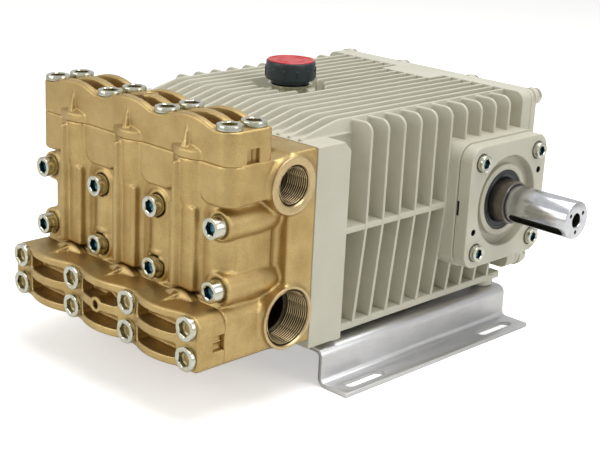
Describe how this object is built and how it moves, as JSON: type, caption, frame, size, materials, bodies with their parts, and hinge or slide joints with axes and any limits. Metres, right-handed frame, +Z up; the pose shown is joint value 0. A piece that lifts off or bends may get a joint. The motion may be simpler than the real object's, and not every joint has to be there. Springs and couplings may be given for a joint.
{
  "type": "plunger pump",
  "caption": "High-pressure plunger pump with brass manifold, valve covers, finned crankcase, keyed drive shaft and two slotted mounting rails.",
  "frame": {"origin": "centre of the rectangle of the four foot slots, on the floor plane under the mounting rails", "axes": "+X along the drive shaft towards its free end, +Y away from the brass manifold, +Z up"},
  "size_m": [0.386, 0.437, 0.2495],
  "materials": {
    "cast_brass": "bead blasted",
    "cream_paint": "satin",
    "zinc_steel": "zinc plated",
    "ground_steel": "ground",
    "rail_aluminium": "brushed",
    "seal_rubber": "moulded",
    "black_plastic": "moulded",
    "red_plastic": "moulded",
    "copper": "pressed",
    "window_glass": "clear"
  },
  "bodies": {
    "pump_housing": {"manifold_body": "cast_brass", "delivery_valve_cover": "cast_brass", "suction_valve_cover": "cast_brass", "delivery_cover_screws": "zinc_steel", "suction_cover_screws": "zinc_steel", "manifold_screws": "zinc_steel", "outlet_plug": "cast_brass", "inlet_plug": "cast_brass", "outlet_plug_washer": "copper", "inlet_plug_washer": "copper", "crankcase": "cream_paint", "rear_cover": "cream_paint", "rear_cover_screws": "zinc_steel", "drive_bearing_cover": "cream_paint", "blind_bearing_cover": "cream_paint", "drive_cover_screws": "zinc_steel", "blind_cover_screws": "zinc_steel", "oil_seal": "seal_rubber", "sight_glass_rim": "zinc_steel", "sight_glass_window": "window_glass", "oil_drain_plug": "zinc_steel", "filler_neck": "ground_steel", "filler_cap": "black_plastic", "filler_cap_disc": "red_plastic", "right_foot_rail": "rail_aluminium", "left_foot_rail": "rail_aluminium", "right_rail_screws": "zinc_steel", "left_rail_screws": "zinc_steel"},
    "crankshaft": {"drive_shaft": "ground_steel"}
  },
  "joints": [
    {"name": "shaft_spin", "type": "hinge", "parent": "pump_housing", "child": "crankshaft", "pos_m": [0, 0.0855, 0.135], "axis": [1, 0, 0], "continuous": true}
  ]
}
